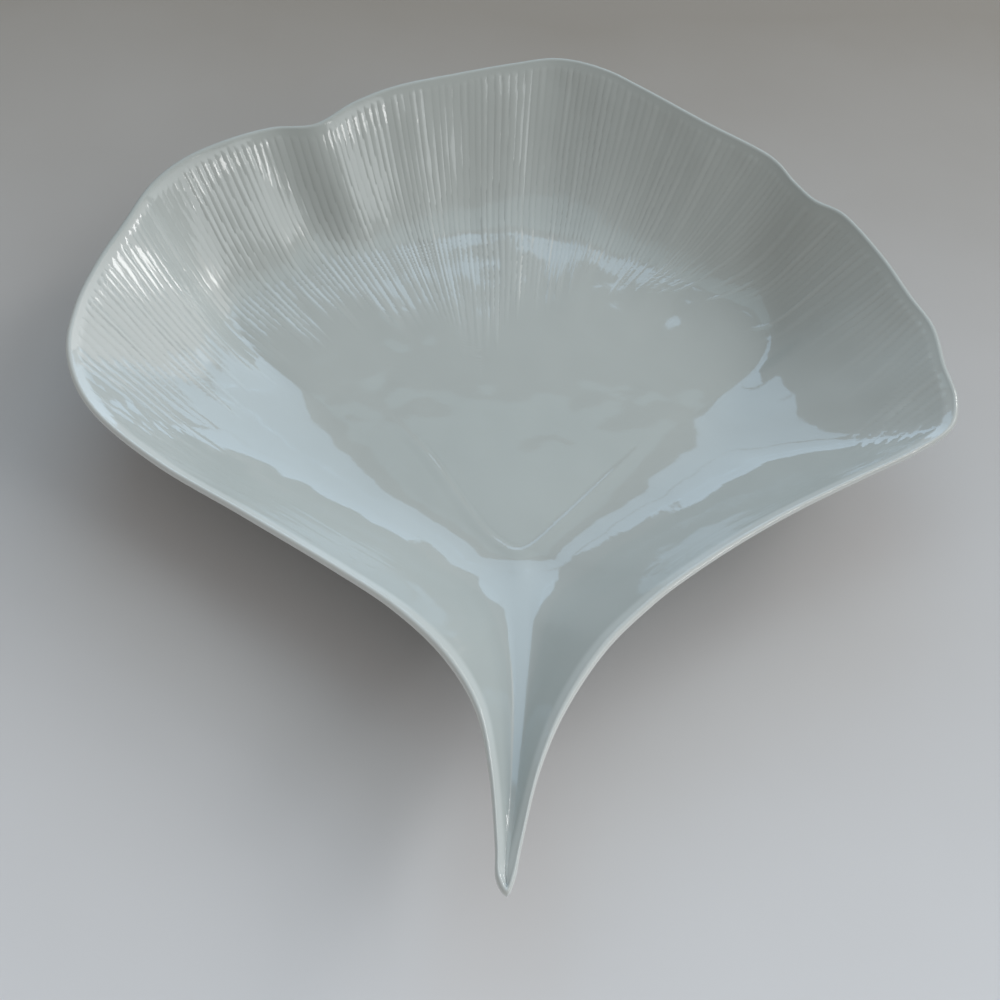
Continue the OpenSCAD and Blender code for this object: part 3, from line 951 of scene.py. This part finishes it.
def colour_mix(tree, second):
    """A mix of two colours, of which the second is a constant."""
    made = tree.nodes.new("ShaderNodeMix")
    made.data_type = "RGBA"
    made.inputs["B"].default_value = second
    return made


def maths(tree, operation, value):
    """A calculation whose second value is a constant."""
    made = tree.nodes.new("ShaderNodeMath")
    made.operation = operation
    made.inputs[1].default_value = value
    return made


def glaze_material():
    """Glossy porcelain glaze, paler by the ridge attribute, which holds the paler glaze on the
    ribs and the painted highlight along the front lip, and dull where it is below 0.
    """
    material, tree, shader = new_material("glazed_porcelain")
    link = tree.links.new
    place = tree.nodes.new("ShaderNodeTexCoord")
    cloud = node(tree, "ShaderNodeTexNoise", Scale=14.0, Detail=3.0, Roughness=0.5)
    link(place.outputs["Object"], cloud.inputs["Vector"])
    tint = ramp(tree, (0.35, (0.420, 0.455, 0.440, 1)), (0.65, (0.440, 0.475, 0.460, 1)))
    link(cloud.outputs["Fac"], tint.inputs["Fac"])
    ridge = tree.nodes.new("ShaderNodeAttribute")
    ridge.attribute_name = "ridge"
    # Paler colour: glaze on the ribs, and painted highlight along the front lip, both from the
    # ridge attribute
    paler_ribs_and_painted_highlight = colour_mix(tree, (0.750, 0.785, 0.770, 1))
    share = maths(tree, "MULTIPLY", 0.10)
    link(ridge.outputs["Fac"], share.inputs[0])
    link(share.outputs["Value"], paler_ribs_and_painted_highlight.inputs["Factor"])
    lustre = node(tree, "ShaderNodeMapRange", From_Min=-1.0, From_Max=0.0, To_Min=0.05, To_Max=0.5)
    link(ridge.outputs["Fac"], lustre.inputs["Value"])
    link(lustre.outputs["Result"], shader.inputs["Specular IOR Level"])
    link(tint.outputs["Color"], paler_ribs_and_painted_highlight.inputs["A"])
    link(paler_ribs_and_painted_highlight.outputs["Result"], shader.inputs["Base Color"])
    fine = node(tree, "ShaderNodeTexNoise", Scale=60.0, Detail=2.0)
    link(place.outputs["Object"], fine.inputs["Vector"])
    rough = node(tree, "ShaderNodeMapRange", To_Min=0.03, To_Max=0.07)
    link(fine.outputs["Fac"], rough.inputs["Value"])
    link(rough.outputs["Result"], shader.inputs["Roughness"])
    wave = node(tree, "ShaderNodeBump", Strength=0.05, Distance=0.001)
    swell = node(tree, "ShaderNodeTexNoise", Scale=140.0, Detail=2.0)
    link(place.outputs["Object"], swell.inputs["Vector"])
    link(swell.outputs["Fac"], wave.inputs["Height"])
    link(wave.outputs["Normal"], shader.inputs["Normal"])
    shader.inputs["IOR"].default_value = 1.5
    return material


def foot_material():
    """Glazed sides above a bare, matt edge that stands on the table."""
    material, tree, shader = new_material("bare_porcelain")
    link = tree.links.new
    place = tree.nodes.new("ShaderNodeTexCoord")
    grain = node(tree, "ShaderNodeTexNoise", Scale=900.0, Detail=4.0)
    link(place.outputs["Object"], grain.inputs["Vector"])
    tint = ramp(tree, (0.3, (0.56, 0.53, 0.48, 1)), (0.7, (0.66, 0.63, 0.58, 1)))
    link(grain.outputs["Fac"], tint.inputs["Fac"])
    split = tree.nodes.new("ShaderNodeSeparateXYZ")
    link(place.outputs["Object"], split.inputs["Vector"])
    glazed = node(tree, "ShaderNodeMapRange", From_Min=0.0011, From_Max=0.0015)
    link(split.outputs["Z"], glazed.inputs["Value"])
    colour = colour_mix(tree, (0.43, 0.465, 0.45, 1))
    link(glazed.outputs["Result"], colour.inputs["Factor"])
    link(tint.outputs["Color"], colour.inputs["A"])
    link(colour.outputs["Result"], shader.inputs["Base Color"])
    rough = node(tree, "ShaderNodeMapRange", To_Min=0.8, To_Max=0.1)
    link(glazed.outputs["Result"], rough.inputs["Value"])
    link(rough.outputs["Result"], shader.inputs["Roughness"])
    bumps = node(tree, "ShaderNodeBump", Strength=0.15, Distance=0.0003)
    link(grain.outputs["Fac"], bumps.inputs["Height"])
    link(bumps.outputs["Normal"], shader.inputs["Normal"])
    return material


glaze = glaze_material()
floor(glaze)
wall("fan_wall.glazed", fan_s, FAN_ROWS, glaze)
wall("left_flank.glazed", left_s, FLANK_ROWS, glaze)
wall("right_flank.glazed", right_s, FLANK_ROWS, glaze)
stem(glaze)
rim(glaze)
foot_ring(foot_material())


# Camera, at the photograph's viewing angle, in metres
VIEW_AZ, VIEW_EL, VIEW_ROLL = (math.radians(v) for v in (-4.2, 56.0, 5.6))
VIEW_FROM = (-0.01997, -0.25623, 0.35653)
FOCAL_PX, PHOTO_PX, SENSOR = 1300.0, 1000.0, 36.0
# Half of the table's width
TABLE_HALF = 3.0


def make_camera():
    """The camera, from its three axes and its place."""
    back = np.array([math.sin(VIEW_AZ) * math.cos(VIEW_EL),
                     -math.cos(VIEW_AZ) * math.cos(VIEW_EL), math.sin(VIEW_EL)])
    right = np.array([math.cos(VIEW_AZ), math.sin(VIEW_AZ), 0.0])
    up = np.cross(back, right)
    c, s = math.cos(VIEW_ROLL), math.sin(VIEW_ROLL)
    axes = np.stack([c * right + s * up, c * up - s * right, back], 1)
    matrix = np.eye(4)
    matrix[:3, :3] = axes
    matrix[:3, 3] = VIEW_FROM
    data = bpy.data.cameras.new("camera")
    data.sensor_width = SENSOR
    data.lens = FOCAL_PX / PHOTO_PX * SENSOR
    data.clip_start = 0.01
    camera = bpy.data.objects.new("camera", data)
    bpy.context.scene.collection.objects.link(camera)
    camera.matrix_world = Matrix(matrix.tolist())
    bpy.context.scene.camera = camera


def make_floor():
    """The table: a pale cloth with a painted falloff of the light, its colour growing darker and
    warmer towards the back.
    """
    material, tree, shader = new_material("pale_cloth_painted_falloff")
    link = tree.links.new
    place = tree.nodes.new("ShaderNodeTexCoord")
    split = tree.nodes.new("ShaderNodeSeparateXYZ")
    link(place.outputs["Object"], split.inputs["Vector"])
    # Painted falloff of the light: the colour darkens and warms along y, towards the back
    depth = node(tree, "ShaderNodeMapRange", From_Min=-0.25, From_Max=0.33)
    link(split.outputs["Y"], depth.inputs["Value"])
    wide = node(tree, "ShaderNodeTexNoise", Scale=6.0, Detail=4.0)
    link(place.outputs["Object"], wide.inputs["Vector"])
    # The noise, from 0 to 1, stirs the place along the painted falloff by up to this share
    amount = 0.16
    stir = maths(tree, "MULTIPLY_ADD", amount)
    link(wide.outputs["Fac"], stir.inputs[0])
    link(depth.outputs["Result"], stir.inputs[2])
    tint = ramp(tree, (amount / 2, (0.77, 0.785, 0.81, 1)),
                ((1 + amount / 2) / (1 + amount), (0.285, 0.262, 0.232, 1)))
    link(stir.outputs["Value"], tint.inputs["Fac"])
    link(tint.outputs["Color"], shader.inputs["Base Color"])
    shader.inputs["Roughness"].default_value = 0.9
    shader.inputs["Specular IOR Level"].default_value = 0.2
    mesh = bpy.data.meshes.new("table")
    mesh.from_pydata([(x * TABLE_HALF, y * TABLE_HALF, 0)
                      for x, y in ((-1, -1), (1, -1), (1, 1), (-1, 1))], [], [(0, 1, 2, 3)])
    mesh.materials.append(material)
    table = bpy.data.objects.new("table", mesh)
    bpy.context.scene.collection.objects.link(table)


# Lamps round the plate: name, azimuth from +Y towards +X, elevation, distance and
# size in metres, radiance, colour. The window is wider above its foot, as what
# stands in front of it lets it show.
LAMPS = [
    ("key", 92, 38, 2.2, (1.6, 1.3), 1.6, (0.90, 0.95, 0.98)),
    ("spark", 114, 28, 2.0, (0.28, 0.26), 6.5, (1.0, 0.99, 0.98)),
    ("glint", 54, 27, 1.9, (0.38, 0.34), 7.0, (1.0, 0.99, 0.98)),
    ("side", 48, 30, 2.0, (1.35, 0.9), 1.45, (1.0, 0.95, 0.93)),
    ("window_top", 1, 36.5, 2.0, (1.2, 0.456), 1.72, (0.49, 0.74, 1.0)),
    ("window_mid", 8, 24, 2.0, (1.36, 0.421), 1.72, (0.49, 0.74, 1.0)),
    ("window_low", 2.5, 12, 2.0, (0.814, 0.421), 1.72, (0.49, 0.74, 1.0)),
    ("ceiling", 0, 66, 2.0, (1.8, 1.05), 0.60, (0.50, 0.78, 0.90)),
]
# Height of the point that the lamps face
LAMP_AIM_Z = 0.02
# Energy of a lamp of one square metre, for each unit of its radiance
ENERGY_PER_RADIANCE = 4
WORLD_COLOUR, WORLD_STRENGTH = (1.0, 0.955, 0.93, 1), 0.425


def area_light(name, azimuth, elevation, distance, size, radiance, colour):
    """A soft rectangle of light that faces the plate."""
    a, e = math.radians(azimuth), math.radians(elevation)
    back = np.array([math.sin(a) * math.cos(e), math.cos(a) * math.cos(e), math.sin(e)])
    right = np.cross([0, 0, 1.0], back)
    right /= np.linalg.norm(right)
    data = bpy.data.lights.new(name, "AREA")
    data.shape = "RECTANGLE"
    data.size, data.size_y = size
    data.energy = radiance * ENERGY_PER_RADIANCE * size[0] * size[1]
    data.color = colour
    lamp = bpy.data.objects.new(name, data)
    bpy.context.scene.collection.objects.link(lamp)
    matrix = np.eye(4)
    matrix[:3, :3] = np.stack([right, np.cross(back, right), back], 1)
    matrix[:3, 3] = back * distance + np.array([0, 0, LAMP_AIM_Z])
    lamp.matrix_world = Matrix(matrix.tolist())
    lamp.visible_camera = False


def make_lights():
    """All lamps, and an even light from the room around."""
    for lamp in LAMPS:
        area_light(*lamp)
    world = bpy.data.worlds.new("studio")
    bpy.context.scene.world = world
    world.use_nodes = True
    sky = world.node_tree.nodes["Background"]
    sky.inputs["Color"].default_value = WORLD_COLOUR
    sky.inputs["Strength"].default_value = WORLD_STRENGTH


make_camera()
make_floor()
make_lights()
bpy.context.scene.view_settings.view_transform = "Standard"

bpy.context.view_layer.update()
